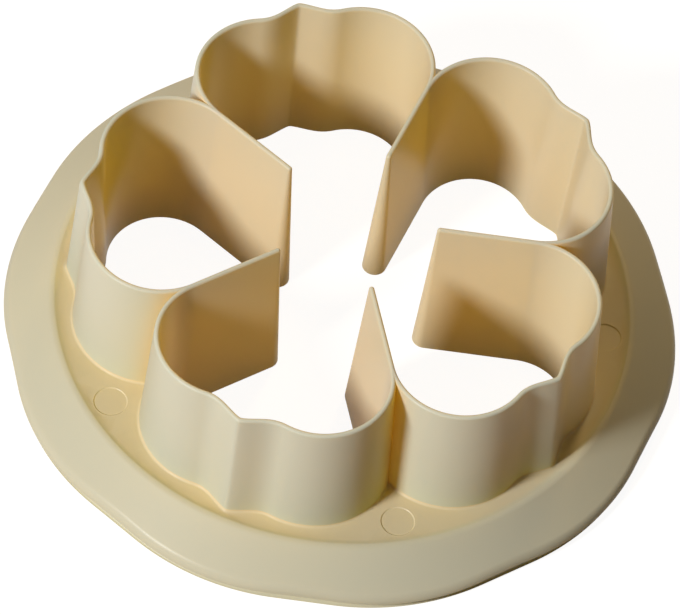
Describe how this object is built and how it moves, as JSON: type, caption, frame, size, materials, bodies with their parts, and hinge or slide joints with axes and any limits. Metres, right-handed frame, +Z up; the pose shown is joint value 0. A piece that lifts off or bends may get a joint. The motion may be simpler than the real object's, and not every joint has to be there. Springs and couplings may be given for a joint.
{
  "type": "flower cutter",
  "caption": "Open flower-shaped cutter for sugar paste and pastry, with a thin cutting edge, divider blades between the petals and a round grip flange.",
  "frame": {"origin": "centre of the underside, on the plane it stands on", "axes": "+Z up through the open middle, from the flange to the cutting edge; +X along one divider blade, through the notch between two petals"},
  "size_m": [0.08, 0.0788, 0.022],
  "materials": {
    "ivory_plastic": "satin"
  },
  "bodies": {
    "root": {"grip_flange": "ivory_plastic", "petal_wall_1": "ivory_plastic", "petal_wall_2": "ivory_plastic", "petal_wall_3": "ivory_plastic", "petal_wall_4": "ivory_plastic", "petal_wall_5": "ivory_plastic", "divider_blade_1": "ivory_plastic", "divider_blade_2": "ivory_plastic", "divider_blade_3": "ivory_plastic", "divider_blade_4": "ivory_plastic", "divider_blade_5": "ivory_plastic"}
  },
  "joints": []
}
